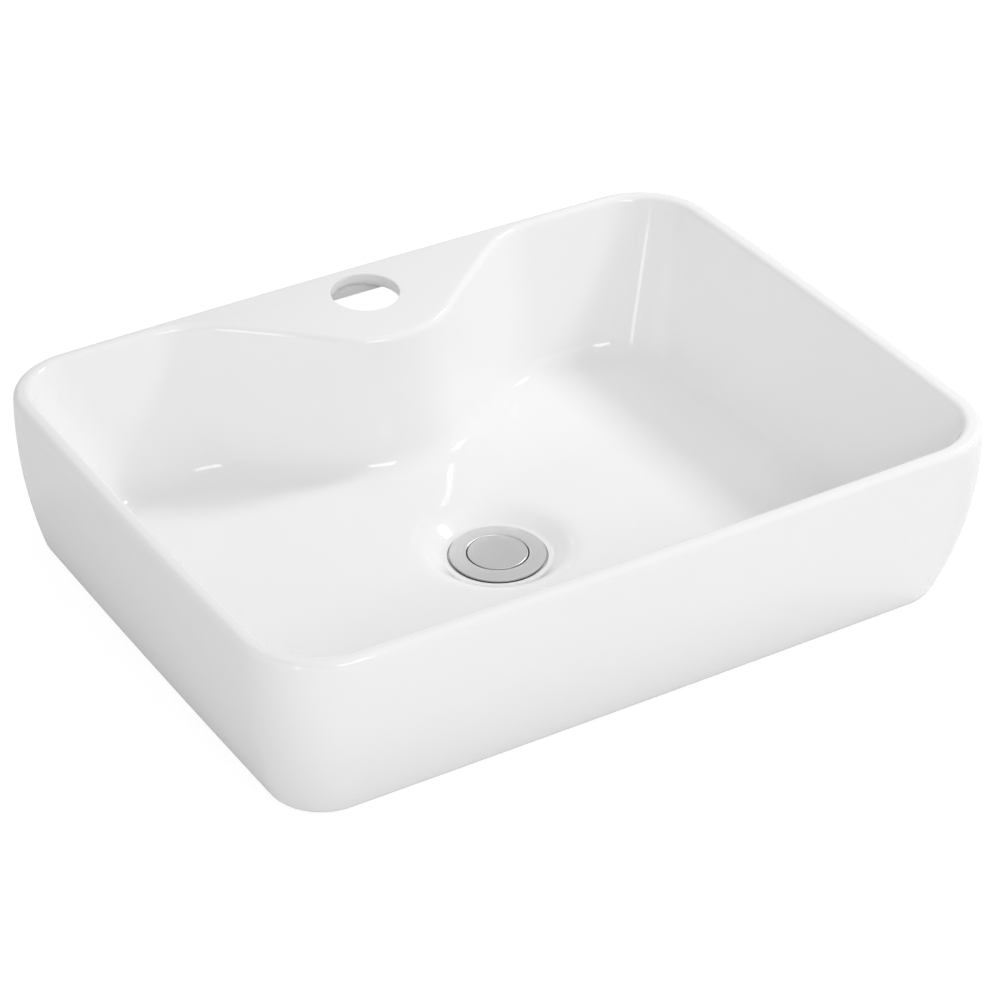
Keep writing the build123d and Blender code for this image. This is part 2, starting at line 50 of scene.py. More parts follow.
DECK_ARC = 440.0
RULED_TOP = 122.0
RIM_R, LIP_R, FOOT_R = 4.4, 4.6, 8.0
RIM_LEAN = sqrt(1.0001)
# How far the outside and the bowl draw in from the rim down, at the side, the front and the back
OUTER_DRAW, BOWL_DRAW = (20.0, 24.3, 1.5), (34.0, 27.0, 28.0)
# Each pair is a size at the rim and the same size at the foot, or for the bowl at its floor
OUTER_CORNER, INNER_CORNER = (48.6, 33.0), (39.0, 45.0)
SIDE_BOW, END_BOW = (2.9, 1.3), (3.1, 0.8)
DECK_REACH, FLANK_ANGLE = (71.0, 51.0), (38.3, 31.0)
APEX_HALF, SWELL_R = (22.7, 23.0), (60.0, 70.0)
STRAIGHT_SHARE = 0.96
# The dish: its flat, the edge where the floor ends, and the roundings at the edge and the flat
DISH_R, DISH_Z, DISH_EDGE_R, DISH_EDGE_Z = 33.0, 12.0, 46.0, 20.4
EDGE_ROUND, FLAT_ROUND, FLOOR_RUN = 24.0, 6.0, 60
SETTLE = 8
STRETCHES = (
    ("front", 26), ("corner", 16), ("side", 34), ("corner", 16), ("rear", 9),
    ("foot", 14), ("flank", 15), ("apex", 14), ("nose", 6),
)


def mm(*lengths):
    """Millimetres as metres."""
    return tuple(length * MM for length in lengths)


def between(pair, share):
    """The size that lies this share of the way from the first to the second."""
    return pair[0] + (pair[1] - pair[0]) * share


def circle_through(p, q, r):
    """Centre and radius of the circles through three points, one circle per column."""
    ax, ay = q[0] - p[0], q[1] - p[1]
    bx, by = r[0] - p[0], r[1] - p[1]
    d = 2 * (ax * by - ay * bx)
    ux = (by * (ax**2 + ay**2) - ay * (bx**2 + by**2)) / d
    uy = (ax * (bx**2 + by**2) - bx * (ax**2 + ay**2)) / d
    return (p[0] + ux, p[1] + uy), np.sqrt(ux**2 + uy**2)


def meet(c0, r0, c1, r1):
    """The crossing of two circles that lies further to the right."""
    dx, dy = c1[0] - c0[0], c1[1] - c0[1]
    d = np.sqrt(dx**2 + dy**2)
    a = (r0**2 - r1**2 + d**2) / (2 * d)
    h = np.sqrt(np.maximum(r0**2 - a**2, 0))
    mx, my = c0[0] + a * dx / d, c0[1] + a * dy / d
    one = (mx - h * dy / d, my + h * dx / d)
    two = (mx + h * dy / d, my - h * dx / d)
    right = one[0] > two[0]
    return np.where(right, one[0], two[0]), np.where(right, one[1], two[1])


def arc(centre, radius, start, end, share):
    """Points and outward normals on an arc, from the angle start to end."""
    angle = start + (end - start) * share
    n = np.stack([np.cos(angle), np.sin(angle)], -1)
    return np.stack([centre[0] + radius * n[:, 0], centre[1] + radius * n[:, 1]], -1), n


def angle_to(centre, point):
    """The bearing of a point from a centre, in radians."""
    return np.arctan2(point[1] - centre[1], point[0] - centre[0])


def shares():
    """Which stretch each column is on, and how far along it."""
    stretch, share = [], []
    for k, (_, count) in enumerate(STRETCHES):
        closing = 1 if k == len(STRETCHES) - 1 else 0
        for i in range(count + closing):
            stretch.append(k)
            share.append(i / count)
    return np.array(stretch), np.array(share)


STRETCH, SHARE = shares()
HALF = len(STRETCH)
REAR_FIRST = [name for name, _ in STRETCHES].index("rear")
REAR = STRETCH >= REAR_FIRST


def pick(parts):
    """One outline from the stretches: each column takes its own stretch's point and normal."""
    pts = np.zeros((HALF, 2))
    nrm = np.zeros((HALF, 2))
    for k, (p, n) in enumerate(parts):
        here = STRETCH == k
        pts[here], nrm[here] = p[here], n[here]
    return pts, nrm


def outer_plan(z, side_inset=0.0, front_inset=0.0, rear_inset=0.0):
    """The body's outline at height z, which may differ from column to column."""
    z = np.broadcast_to(np.asarray(z, float), (HALF,))
    drop = (HEIGHT - z) / HEIGHT
    half = WIDTH / 2 - OUTER_DRAW[0] * drop**2 - side_inset
    front = -DEPTH / 2 + OUTER_DRAW[1] * drop**2 + front_inset
    back = DEPTH / 2 - OUTER_DRAW[2] * drop**2 - rear_inset
    corner = between(OUTER_CORNER, drop) - side_inset
    bow_x, bow_y = between(SIDE_BOW, drop), between(END_BOW, drop)
    low, high, side = front + bow_y, back - bow_y, half - bow_x
    side_c, side_r = circle_through((side, low), (half, (front + back) / 2), (side, high))
    front_r = (side**2 + bow_y**2) / (2 * bow_y)
    front_c, back_c = (0 * z, front + front_r), (0 * z, back - front_r)
    # Only the right half is drawn, so both corners are at the crossing on the right
    fc = meet(side_c, side_r - corner, front_c, front_r - corner)
    bc = meet(side_c, side_r - corner, back_c, front_r - corner)
    f0, f1 = angle_to(front_c, fc), angle_to(side_c, fc)
    b0, b1 = angle_to(side_c, bc), angle_to(back_c, bc)
    back_x = (bc[0] + corner * np.cos(b1)) * RIM_SHARE
    back_y = back_c[1] + np.sqrt(front_r**2 - back_x**2)
    back_p = np.stack([back_x, back_y], -1)
    back_n = np.stack([back_x / front_r, (back_y - back_c[1]) / front_r], -1)
    return pick([
        arc(front_c, front_r, -pi / 2 + 0 * z, f0, SHARE), arc(fc, corner, f0, f1, SHARE),
        arc(side_c, side_r, f1, b0, SHARE), arc(bc, corner, b0, b1, SHARE),
    ] + [(back_p, back_n)] * (len(STRETCHES) - REAR_FIRST))


def bowl_plan(z, growth=0.0):
    """The bowl's outline at height z, with the swelling of the tap deck in its rear line."""
    t = (HEIGHT - z) / (HEIGHT - FLOOR_Z)
    half = WIDTH / 2 - WALL - BOWL_DRAW[0] * t + growth
    front = -DEPTH / 2 + WALL + BOWL_DRAW[1] * t - growth
    back = DEPTH / 2 - WALL - BOWL_DRAW[2] * t + growth
    corner = between(INNER_CORNER, t) + growth
    bow_x, bow_y = between(SIDE_BOW, t), between(END_BOW, t)
    reach = between(DECK_REACH, t)
    flank = radians(between(FLANK_ANGLE, t))
    half_tan = tan(flank / 2)
    apex = between(APEX_HALF, t) - growth * half_tan
    foot = apex + reach / tan(flank)
    side, low = half - bow_x, front + bow_y
    foot_r = min(between(SWELL_R, t) + growth, STRAIGHT_SHARE * (side - corner - foot) / half_tan)
    apex_r = min(between(SWELL_R, t) - growth, STRAIGHT_SHARE * apex / half_tan)
    side_c, side_r = circle_through((side, back), (half, (front + back) / 2), (side, low))
    front_r = (side**2 + bow_y**2) / (2 * bow_y)
    front_c = (0.0, front + front_r)
    fc = meet(side_c, side_r - corner, front_c, front_r - corner)
    bc_y = back - corner
    bc = (side_c[0] + sqrt((side_r - corner) ** 2 - (bc_y - side_c[1]) ** 2), bc_y)
    f0, f1, b0 = angle_to(front_c, fc), angle_to(side_c, fc), angle_to(side_c, bc)
    foot_t, apex_t = foot_r * half_tan, apex_r * half_tan
    foot_c = (foot + foot_t, back - foot_r)
    apex_c = (apex - apex_t, back - reach + apex_r)
    flank_a = (foot - foot_t * cos(flank), back - foot_t * sin(flank))
    flank_b = (apex + apex_t * cos(flank), back - reach + apex_t * sin(flank))

    def line(a, b, n):
        p = np.stack([a[0] + (b[0] - a[0]) * SHARE, a[1] + (b[1] - a[1]) * SHARE], -1)
        return p, np.tile(np.array(n, float), (HALF, 1))

    # Normals point into the clay, and so they are turned about where the arc's centre is in it
    apex_p, apex_n = arc(apex_c, apex_r, -pi / 2 + flank, -pi / 2, SHARE)
    return pick([
        arc(front_c, front_r, -pi / 2, f0, SHARE), arc(fc, corner, f0, f1, SHARE),
        arc(side_c, side_r, f1, b0, SHARE), arc(bc, corner, b0, pi / 2, SHARE),
        line((bc[0], back), (foot + foot_t, back), (0, 1)),
        arc(foot_c, foot_r, pi / 2, pi / 2 + flank, SHARE),
        line(flank_a, flank_b, (-sin(flank), cos(flank))),
        (apex_p, -apex_n),
        line((apex - apex_t, back - reach), (0.0, back - reach), (0, 1)),
    ])


# The outside's rear columns are spread as the bowl's are at the rim
rim_line = bowl_plan(HEIGHT)[0]
RIM_SHARE = np.where(REAR, rim_line[:, 0] / rim_line[np.argmax(REAR), 0], 0)


def wall_between(top, foot, z):
    """Points and normals on the straight-ruled bowl wall at the height z of each column."""
    w = (np.broadcast_to(z, (HALF,)) / RULED_TOP)[:, None]
    n = foot[1] + (top[1] - foot[1]) * w
    return foot[0] + (top[0] - foot[0]) * w, n / np.linalg.norm(n, axis=1)[:, None]


def deck_z(pts):
    """Height of the rim, which falls along a large arc where the tap deck is."""
    back = np.maximum(HINGE_Y - pts[:, 1], 0)
    fall = HEIGHT - DECK_ARC + np.sqrt(DECK_ARC**2 - back**2)
    return np.where(REAR, fall, HEIGHT)


def stack3(pts, z):
    """Points of a plan at one height, or each at its own."""
    return np.concatenate([pts, np.broadcast_to(z, (HALF,))[:, None]], 1)


def rounding(corner, n, to_first, to_last, radius, steps):
    """Rows of a rounding between two straight directions in each column's upright plane."""
    a = to_first / np.linalg.norm(to_first, axis=1)[:, None]
    b = to_last / np.linalg.norm(to_last, axis=1)[:, None]
    opening = np.arccos(np.clip((a * b).sum(1), -1, 1))
    reach = (radius / np.tan(opening / 2))[:, None]
    mid = a + b
    centre = mid / np.linalg.norm(mid, axis=1)[:, None] * (radius / np.sin(opening / 2))[:, None]
    u, v = a * reach - centre, b * reach - centre
    turn = np.arccos(np.clip((u * v).sum(1) / radius**2, -1, 1))
    rows = []
    for i in range(steps + 1):
        s = i / steps
        w = (u * np.sin((1 - s) * turn)[:, None] + v * np.sin(s * turn)[:, None]) / np.sin(turn)[:, None]
        q = centre + w
        rows.append(np.concatenate([corner[:, :2] + n * q[:, :1], corner[:, 2:] + q[:, 1:]], 1))
    return rows


def bowl_rows(growth, top_z, flat_r, flat_z, foot_radius, lip):
    """Rows from the bowl's lip down the wall and over the floor to the middle of the dish."""
    top_r, edge_z = DISH_EDGE_R + (flat_r - DISH_R), DISH_EDGE_Z - growth
    top, foot = bowl_plan(RULED_TOP, growth), bowl_plan(0.0, growth)

    def floor_z(pts):
        r = np.hypot(pts[:, 0], pts[:, 1] - DRAIN_Y)
        return edge_z + (r - top_r) / FLOOR_RUN

    # The floor slopes, so its height where it meets the leaning wall is found in a few rounds
    z = np.full(HALF, edge_z)
    for _ in range(SETTLE):
        pts, n = wall_between(top, foot, z)
        z = floor_z(pts)
    lean = ((top[0] - foot[0]) * n).sum(1) / RULED_TOP
    radial = pts - np.array([0, DRAIN_Y])
    radial /= np.linalg.norm(radial, axis=1)[:, None]
    fall = (radial * n).sum(1) / FLOOR_RUN
    ones = np.ones(HALF)
    corner = stack3(pts, z)
    up, inwards = np.stack([lean, ones], 1), np.stack([-ones, -fall], 1)
    bend = rounding(corner, n, up, inwards, foot_radius, 10)
    if lip:
        rows = lip_rows(top, foot)
        start, first, steps = rows[-1][:, 2], 1, 26
    else:
        rows = []
        start, first, steps = np.full(HALF, top_z), 0, 10
    end = bend[0][:, 2]
    for i in range(first, steps):
        level = start + (end - start) * i / steps
        rows.append(stack3(wall_between(top, foot, level)[0], level))
    rows += bend
    # The floor narrows to the dish along rays from the drain
    edge = bend[-1]
    angle = np.arctan2(edge[:, 1] - DRAIN_Y, edge[:, 0])
    away = np.hypot(edge[:, 0], edge[:, 1] - DRAIN_Y)
    slope = atan((edge_z - flat_z) / (top_r - flat_r))
    edge_radius, inner_radius = EDGE_ROUND - growth, FLAT_ROUND + growth
    half_edge = (slope - atan(1 / FLOOR_RUN)) / 2
    tilt = slope - 2 * half_edge
    dish_start = top_r + edge_radius * tan(half_edge)
    profile = []
    for i in range(9):
        a = slope - 2 * half_edge * (1 - i / 8)
        profile.append((
            dish_start - edge_radius * (sin(a) - sin(tilt)),
            edge_z + edge_radius * tan(half_edge) / FLOOR_RUN - edge_radius * (cos(tilt) - cos(a)),
        ))
    low_start = flat_r + inner_radius * tan(slope / 2)
    low_end = flat_r - inner_radius * tan(slope / 2)
    for i in range(9):
        a = slope * (1 - i / 8)
        profile.append((low_end + inner_radius * sin(a), flat_z + inner_radius * (1 - cos(a))))
    # The rounding ends a little off the floor's plane, and that fades out on the way in
    blend = edge[:, 2] - (edge_z + (away - top_r) / FLOOR_RUN)
    steps = 18
    for i in range(1, steps):
        share = i / steps
        r = away + (dish_start - away) * share
        pts = np.stack([r * np.cos(angle), DRAIN_Y + r * np.sin(angle)], 1)
        z = edge_z + (r - top_r) / FLOOR_RUN
        rows.append(stack3(pts, z + blend * (1 - share) ** 6))
    for r, z in profile + [(0.66 * low_end, flat_z), (0.33 * low_end, flat_z)]:
        rows.append(stack3(np.stack([r * np.cos(angle), DRAIN_Y + r * np.sin(angle)], 1), z))
    return rows


def lip_rows(top, foot):
    """Rows over the flat rim and the tap deck and round the lip, ending on the bowl wall."""
    z = np.full(HALF, HEIGHT)
    for _ in range(SETTLE):
        pts, n = wall_between(top, foot, z)
        z = deck_z(pts)
    lean = ((top[0] - foot[0]) * n).sum(1) / RULED_TOP
    back = np.maximum(HINGE_Y - pts[:, 1], 0)
    climb = np.where(REAR, back / np.sqrt(DECK_ARC**2 - back**2), 0) * n[:, 1]
    ones = np.ones(HALF)
    corner = stack3(pts, z)
    outwards, down = np.stack([ones, climb], 1), np.stack([-lean, -ones], 1)
    bend = rounding(corner, n, outwards, down, LIP_R, 8)
    edge, normal = outer_plan(HEIGHT - RIM_R)
    edge = edge - normal * (RIM_R * RIM_LEAN)
    inner = bend[0]
    rows = []
    steps = 22
    for i in range(1, steps):
        share = i / steps
        p = edge + (inner[:, :2] - edge) * share
        q = deck_z(p) + (inner[:, 2] - deck_z(inner)) * share
        rows.append(stack3(p, q))
    return rows + bend


def outer_rows():
    """Rows up the outside: the rolled foot, the leaning wall and the rounded rim."""
    low, low_n = outer_plan(0.0)
    up = outer_plan(FOOT_R)[0]
    s = ((up - low) * low_n).sum(1) / FOOT_R
    k = np.sqrt(1 + s**2)
    first, last = -pi / 2, -np.arctan(s)
    rows = []
    for i in range(9):
        a = first + (last - first) * i / 8
        off = s * FOOT_R - FOOT_R * k + FOOT_R * np.cos(a)
        rows.append(stack3(low + low_n * off[:, None], FOOT_R + FOOT_R * np.sin(a)))
    top, top_n = outer_plan(HEIGHT - RIM_R)
    t = ((outer_plan(HEIGHT)[0] - top) * top_n).sum(1) / RIM_R
    g = np.sqrt(1 + t**2)
    start, end = rows[-1][:, 2], HEIGHT - RIM_R - RIM_R * t / g
    steps = 22
    for i in range(1, steps):
        z = start + (end - start) * i / steps
        rows.append(stack3(outer_plan(z)[0], z))
    for i in range(9):
        a = -np.arctan(t) + (pi / 2 + np.arctan(t)) * i / 8
        off = -RIM_R * g + RIM_R * np.cos(a)
        rows.append(stack3(top + top_n * off[:, None], HEIGHT - RIM_R + RIM_R * np.sin(a)))
    return rows


def add_object(name, data):
    """A new object with this data, put in the scene."""
    made = bpy.data.objects.new(name, data)
    bpy.context.scene.collection.objects.link(made)
    return made


def add_piece(name, mesh):
    """A new piece whose faces are all turned outwards."""
    bm = bmesh.new()
    bm.from_mesh(mesh)
    bmesh.ops.recalc_face_normals(bm, faces=bm.faces)
    bm.to_mesh(mesh)
    bm.free()
    return add_object(name, mesh)


def ring_mesh(name, rows):
    """A closed mesh from half rows: each is mirrored to a full ring, and the two ends are capped."""
    rings = []
    for row in rows:
        left = row[1:-1][::-1] * np.array([-1, 1, 1])
        rings.append(np.concatenate([row, left]))
    n = len(rings[0])
    verts = np.concatenate(rings) * MM
    faces = [
        (r * n + c, r * n + (c + 1) % n, (r + 1) * n + (c + 1) % n, (r + 1) * n + c)
        for r in range(len(rings) - 1) for c in range(n)
    ]
    bottom, top = len(verts), len(verts) + 1
    verts = np.concatenate([verts, [rings[0].mean(0) * MM], [rings[-1].mean(0) * MM]])
    faces += [(bottom, (c + 1) % n, c) for c in range(n)]
    last = (len(rings) - 1) * n
    faces += [(top, last + c, last + (c + 1) % n) for c in range(n)]
    mesh = bpy.data.meshes.new(name)
    mesh.from_pydata([tuple(v) for v in verts], [], faces)
    mesh.validate()
    return add_piece(name, mesh)


ON_AXIS = 1e-9


def turned(name, profile, centre=(0.0, DRAIN_Y), segments=192):
    """A piece turned about an upright axis, from a closed profile of radius and height."""
    verts, faces, ring_of = [], [], []
    for r, z in profile:
        if r < ON_AXIS:
            ring_of.append([len(verts)])
            verts.append((centre[0] * MM, centre[1] * MM, z * MM))
        else:
            first = len(verts)
            for c in range(segments):
                a = 2 * pi * c / segments
                verts.append(((centre[0] + r * cos(a)) * MM, (centre[1] + r * sin(a)) * MM, z * MM))
            ring_of.append(list(range(first, first + segments)))
    for a, b in zip(ring_of, ring_of[1:] + ring_of[:1]):
        for c in range(segments):
            d = (c + 1) % segments
            if len(a) == 1 and len(b) == 1:
                break
            if len(a) == 1:
                faces.append((a[0], b[d], b[c]))
            elif len(b) == 1:
                faces.append((a[c], a[d], b[0]))
            else:
                faces.append((a[c], a[d], b[d], b[c]))
    mesh = bpy.data.meshes.new(name)
    mesh.from_pydata(verts, [], faces)
    return add_piece(name, mesh)


def rounded(profile, radius, steps=4):
    """A closed profile whose corners are eased by curves, each reaching at most radius."""
    out = []
    n = len(profile)
    for i, (x, z) in enumerate(profile):
        p, q = Vector(profile[i - 1]), Vector(profile[(i + 1) % n])
        c = Vector((x, z))
        if x < ON_AXIS:
            out.append((x, z))
            continue
        a, b = p - c, q - c
        r = min(radius, 0.45 * a.length, 0.45 * b.length)
        for k in range(steps + 1):
            s = k / steps
            w = c + a.normalized() * r * (1 - s) ** 2 + b.normalized() * r * s**2
            out.append((w.x, w.y))
    return out


def bake(piece):
    """Puts the mesh that the piece's modifiers make in place of its own."""
    bpy.context.view_layer.update()
    evaluated = piece.evaluated_get(bpy.context.evaluated_depsgraph_get())
    done = bpy.data.meshes.new_from_object(evaluated)
    piece.modifiers.clear()
    old = piece.data
    piece.data = done
    bpy.data.meshes.remove(old)


def cut(piece, cutters, operation="DIFFERENCE"):
    """Takes the cutters out of the piece, joins them to it or keeps what they share."""
    for cutter in cutters:
        step = piece.modifiers.new("cut", "BOOLEAN")
        step.operation, step.solver, step.object = operation, "EXACT", cutter
        bake(piece)
    for cutter in cutters:
        mesh = cutter.data
        bpy.data.objects.remove(cutter)
        bpy.data.meshes.remove(mesh)


def smooth(piece, angle=32):
    """Round surfaces shade as one, and edges sharper than the angle stay crisp."""
    for polygon in piece.data.polygons:
        polygon.use_smooth = True
    piece.data.set_sharp_from_angle(angle=radians(angle))
    return piece


def prism(name, outline, reach):
    """A block drawn out from a flat outline by the vector reach."""
    mesh = bpy.data.meshes.new(name)
    bm = bmesh.new()
    face = bm.faces.new([bm.verts.new(p) for p in outline])
    drawn = bmesh.ops.extrude_face_region(bm, geom=[face])
    moved = [v for v in drawn["geom"] if isinstance(v, bmesh.types.BMVert)]
    bmesh.ops.translate(bm, verts=moved, vec=Vector(reach))
    bm.to_mesh(mesh)
    bm.free()
    return add_piece(name, mesh)


basin = ring_mesh("ceramic_body", outer_rows() + bowl_rows(0.0, HEIGHT, DISH_R, DISH_Z, 14.0, True))

# The hollow underneath starts inside the foot ring and widens to the wall. The bowl and the deck,
# each thicker by a wall, are left standing in it.
below = -6.0
ring_insets, hollow_insets = (18.0, 30.0, 13.3), (WALL, 24.0, WALL)
widen_z, hollow_top = 24.0, 108.0
hollow_rows = [stack3(outer_plan(FOOT_R, *ring_insets)[0], z) for z in (below, FOOT_R)]
for i in range(11):
    z = widen_z + (hollow_top - widen_z) * i / 10
    hollow_rows.append(stack3(outer_plan(z, *hollow_insets)[0], z))
hollow = ring_mesh("hollow", hollow_rows)
grown_tub = ring_mesh("grown_tub", bowl_rows(WALL, RULED_TOP, 42.6, 3.2, 18.0, False))
deck_half, deck_near, deck_far, deck_over = 140.0, 60.0, 200.0, 130.0
under_r = DECK_ARC - WALL
under_line = []
for i in range(33):
    y = deck_near + (HINGE_Y - deck_near) * i / 32
    under_line.append(mm(-deck_half, y, HEIGHT - DECK_ARC + sqrt(under_r**2 - (HINGE_Y - y) ** 2)))
under_line += [mm(-deck_half, deck_far, HEIGHT - WALL), mm(-deck_half, deck_far, deck_over)]
under_line += [mm(-deck_half, deck_near, deck_over)]
under_deck = prism("under_deck", under_line, mm(2 * deck_half, 0, 0))
cut(hollow, [grown_tub, under_deck])

# The tap hole is flared below and eased above. It follows the deck's fall and stops at the wall.
tap_y = DEPTH / 2 - 32.0
tap_r, flare, ease = 21.0, 4.5, 1.0
deck_fall_slope = (HINGE_Y - tap_y) / DECK_ARC
deck_top = HEIGHT - DECK_ARC + sqrt(DECK_ARC**2 - (HINGE_Y - tap_y) ** 2)
tap_profile = [(0, 60.0), (tap_r + flare, 60.0)]
for i in range(9):
    a = pi / 2 * i / 8
    tap_profile.append((tap_r + flare - flare * sin(a), deck_top - WALL - 0.1 + flare * (1 - cos(a))))
for i in range(7):
    a = pi / 2 * i / 6
    tap_profile.append((tap_r + ease - ease * cos(a), deck_top - ease + ease * sin(a)))
tap_profile += [(22.1, deck_top + 0.2), (22.1, HEIGHT + 6), (0, HEIGHT + 6)]
tap_cut = turned("tap_cut", tap_profile, centre=(0.0, tap_y), segments=144)
for vert in tap_cut.data.vertices:
    vert.co.y = min(vert.co.y, (DEPTH / 2 - WALL - 0.05) * MM)
    vert.co.z += deck_fall_slope * (vert.co.y - tap_y * MM)

# The arch in the rear wall lets the trap and the tap's hoses be reached.
arch_half, arch_top, arch_r, arch_y, arch_through = 55.0, 101.0, 26.0, 163.8, 30.0
arch = []
for x, start in ((arch_half - arch_r, 0.0), (arch_r - arch_half, pi / 2)):
    for i in range(17):
        a = start + pi / 2 * i / 16
        arch.append(mm(x + arch_r * cos(a), arch_y, arch_top - arch_r + arch_r * sin(a)))
arch += [mm(-arch_half, arch_y, below), mm(arch_half, arch_y, below)]
arch_cut = prism("arch_cut", arch, mm(0, arch_through, 0))
drain_cut = turned("drain_cut", [
    (0, below), (22.5, below), (22.5, 10.4), (30.0, 10.4), (30.0, 11.6), (30.2, 11.9),
    (30.6, 12.05), (30.6, 14.0), (0, 14.0),
], segments=128)
cut(basin, [hollow, tap_cut, arch_cut, drain_cut])
smooth(basin, 34)


def new_material(name):
    """A material with its node tree and its shader."""
    material = bpy.data.materials.new(name)
    material.use_nodes = True
    shader = material.node_tree.nodes["Principled BSDF"]
    return material, material.node_tree, shader


def wire(tree, kind, inputs=None, **settings):
    """A node with its settings; an input is a value or another node's output."""
    node = tree.nodes.new(kind)
    for key, value in settings.items():
        setattr(node, key, value)
    for key, value in (inputs or {}).items():
        if isinstance(value, bpy.types.NodeSocket):
            tree.links.new(value, node.inputs[key])
        else:
            node.inputs[key].default_value = value
    return node


def maths(tree, operation, *values, kind="ShaderNodeMath", output=0):
    """What one step of arithmetic gives."""
    return wire(tree, kind, dict(enumerate(values)), operation=operation).outputs[output]


def colour_in(node, name):
    """The colour socket of that name on a Mix node, which also has unused number sockets."""
    return [i for i in node.inputs if i.name == name and i.type == "RGBA"][0]


def dress(piece, material):
    """Gives the piece this one material."""
    piece.data.materials.clear()
    piece.data.materials.append(material)
    for polygon in piece.data.polygons:
        polygon.material_index = 0


# The glaze pools a little unevenly over the cast clay, and the foot ring is wiped bare.
glaze, tree, shader = new_material("glazed_ceramic")
place = wire(tree, "ShaderNodeTexCoord").outputs["Object"]
level = wire(tree, "ShaderNodeSeparateXYZ", {0: place}).outputs["Z"]
bare = wire(tree, "ShaderNodeMapRange", {
    "Value": level, "From Min": 0.0004, "From Max": 0.0011, "To Min": 1.0, "To Max": 0.0,
}).outputs[0]
pooling = wire(tree, "ShaderNodeTexNoise", {
    "Vector": place, "Scale": 9.0, "Detail": 2.0, "Roughness": 0.4,
})
pinpoint = wire(tree, "ShaderNodeTexNoise", {"Vector": place, "Scale": 900.0, "Detail": 2.0})
clay_grain = wire(tree, "ShaderNodeTexNoise", {"Vector": place, "Scale": 1400.0, "Detail": 3.0})
glaze_tone = wire(tree, "ShaderNodeMix", {"Factor": pooling.outputs["Fac"]}, data_type="RGBA")
clay_tone = wire(tree, "ShaderNodeMix", {"Factor": clay_grain.outputs["Fac"]}, data_type="RGBA")
for node, one, two in (
    (glaze_tone, (0.915, 0.916, 0.917, 1), (0.935, 0.935, 0.934, 1)),
    (clay_tone, (0.60, 0.57, 0.52, 1), (0.74, 0.71, 0.66, 1)),
):
    colour_in(node, "A").default_value = one
    colour_in(node, "B").default_value = two
skin = wire(tree, "ShaderNodeMix", {"Factor": bare}, data_type="RGBA")
tree.links.new(glaze_tone.outputs[2], colour_in(skin, "A"))
tree.links.new(clay_tone.outputs[2], colour_in(skin, "B"))
tree.links.new(skin.outputs[2], shader.inputs["Base Color"])
sheen = wire(tree, "ShaderNodeMapRange", {
    "Value": pinpoint.outputs["Fac"], "To Min": 0.06, "To Max": 0.10,
}).outputs[0]
rough = wire(tree, "ShaderNodeMapRange", {"Value": bare, "To Min": 0.0, "To Max": 0.6}).outputs[0]
tree.links.new(maths(tree, "ADD", sheen, rough), shader.inputs["Roughness"])
ripple = wire(tree, "ShaderNodeBump", {
    "Strength": 0.25, "Distance": 0.0006, "Height": pooling.outputs["Fac"],
}).outputs["Normal"]
tree.links.new(ripple, shader.inputs["Normal"])
shader.inputs["IOR"].default_value = 1.5
dress(basin, glaze)
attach(basin, "basin")
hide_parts("basin_body")

# Waste body
# A brass casting that drops through the drain hole: a turned flange in the dish, a throat, a
# threaded barrel below, and a three-armed spider whose hub carries the cartridge. The flange
# shows as satin metal with rings from the lathe.
THROAT_R, BARREL_R, BARREL_END = 18.8, 21.6, -50.0
flange_top = [(29.0 - 9.5 * i / 8, 13.4 + 0.6 * sin(pi / 2 * i / 8)) for i in range(9)]
waste_profile = [
    (THROAT_R, BARREL_END), (20.9, BARREL_END), (20.9, 2.6), (BARREL_R, 3.2), (BARREL_R, 11.6),
]
waste_profile += [(28.6, 11.6), (29.0, 12.0)] + flange_top
waste_profile += [(19.2, 13.9), (18.95, 13.65), (THROAT_R, 13.2)]
waste = turned("waste_body_turned", waste_profile, segments=256)
hub_low = -14.0
hub = turned("hub", [(7.1, hub_low), (9.6, hub_low), (9.6, -5.0), (7.1, -5.0)], segments=96)
arms = []
for k in range(3):
    a = 2 * pi * k / 3
    along, across = Vector((cos(a), sin(a), 0)), Vector((-sin(a), cos(a), 0))
    base = Vector((0, DRAIN_Y, hub_low))
    corners = [
        base + along * out + across * aside
        for out, aside in ((8.6, -2), (19.6, -2), (19.6, 2), (8.6, 2))
    ]
    arms.append(prism("arm", [c * MM for c in corners], mm(0, 0, 8.6)))
cut(waste, [hub] + arms, "UNION")
smooth(waste, 28)


def group(name, inputs, outputs):
    """A shader node group with its named sockets made, ready to be wired."""
    tree = bpy.data.node_groups.new(name, "ShaderNodeTree")
    for label, kind, value in inputs:
        socket = tree.interface.new_socket(label, in_out="INPUT", socket_type=kind)
        if value is not None:
            socket.default_value = value
    for label, kind in outputs:
        tree.interface.new_socket(label, in_out="OUTPUT", socket_type=kind)
    return tree, tree.nodes.new("NodeGroupInput"), tree.nodes.new("NodeGroupOutput")


# Fine rings that a lathe leaves about the drain's axis, broken up along their length.
turning, given, made = group("turned_rings", [
    ("Light tone", "NodeSocketColor", (0.7, 0.7, 0.7, 1)),
    ("Dark tone", "NodeSocketColor", (0.5, 0.5, 0.5, 1)),
    ("Roughness low", "NodeSocketFloat", 0.2), ("Roughness high", "NodeSocketFloat", 0.4),
    ("Rings per metre", "NodeSocketFloat", 2500.0),
], [("Color", "NodeSocketColor"), ("Roughness", "NodeSocketFloat"), ("Height", "NodeSocketFloat")])
place = wire(turning, "ShaderNodeTexCoord").outputs["Object"]
centred = maths(turning, "ADD", place, mm(0, -DRAIN_Y, 0), kind="ShaderNodeVectorMath")
apart = wire(turning, "ShaderNodeSeparateXYZ", {0: centred}).outputs
bearing = maths(turning, "ARCTAN2", apart["Y"], apart["X"])
flat = maths(turning, "MULTIPLY", centred, (1, 1, 0), kind="ShaderNodeVectorMath")
